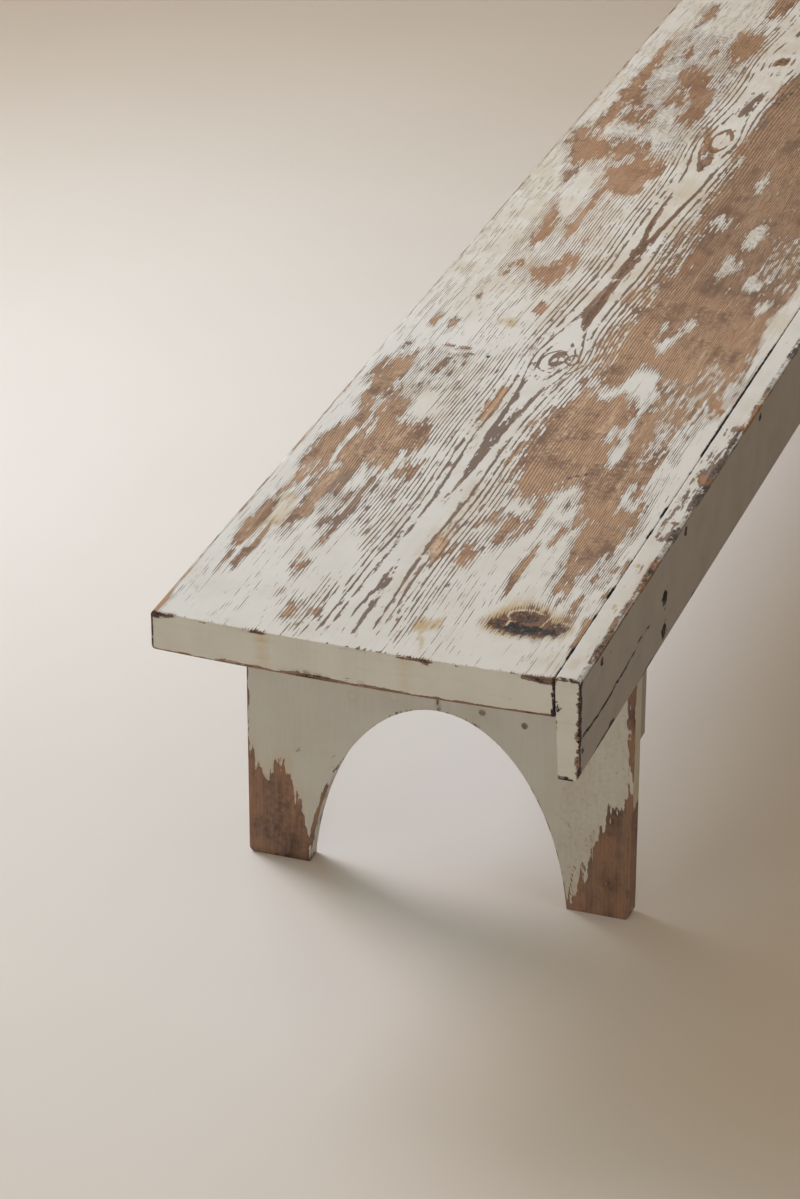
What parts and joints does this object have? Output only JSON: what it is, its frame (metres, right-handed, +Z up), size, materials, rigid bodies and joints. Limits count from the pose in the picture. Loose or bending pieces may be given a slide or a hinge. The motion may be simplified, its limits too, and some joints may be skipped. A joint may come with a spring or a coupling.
{
  "type": "plank bench",
  "caption": "Long low pine bench with a wide worn painted plank seat, a front apron and arched board legs.",
  "frame": {"origin": "on the floor under the middle of the bench, at the centre of its outline", "axes": "+X along the bench from the end shown in the picture to the other, +Y from the apron to the plain back edge, +Z up"},
  "size_m": [2.09, 0.42, 0.397],
  "materials": {
    "seat_paint": "off-white paint worn through to brown flat-sawn pine",
    "side_paint": "matt greige paint over pine, worn bare at the feet and arrises",
    "bare_pine": "unpainted aged pine",
    "iron": "dark rusted nail iron"
  },
  "bodies": {
    "root": {"seat_plank": "seat_paint", "front_apron": "side_paint", "near_leg_back_board": "side_paint", "near_leg_front_board": "side_paint", "far_leg_back_board": "side_paint", "far_leg_front_board": "side_paint", "near_leg_cleat": "bare_pine", "far_leg_cleat": "bare_pine", "apron_seat_nails": "iron", "near_apron_cleat_nails": "iron", "far_apron_cleat_nails": "iron", "near_leg_face_nails": "iron", "far_leg_face_nails": "iron", "near_cleat_seat_nails": "iron", "far_cleat_seat_nails": "iron"}
  },
  "joints": []
}
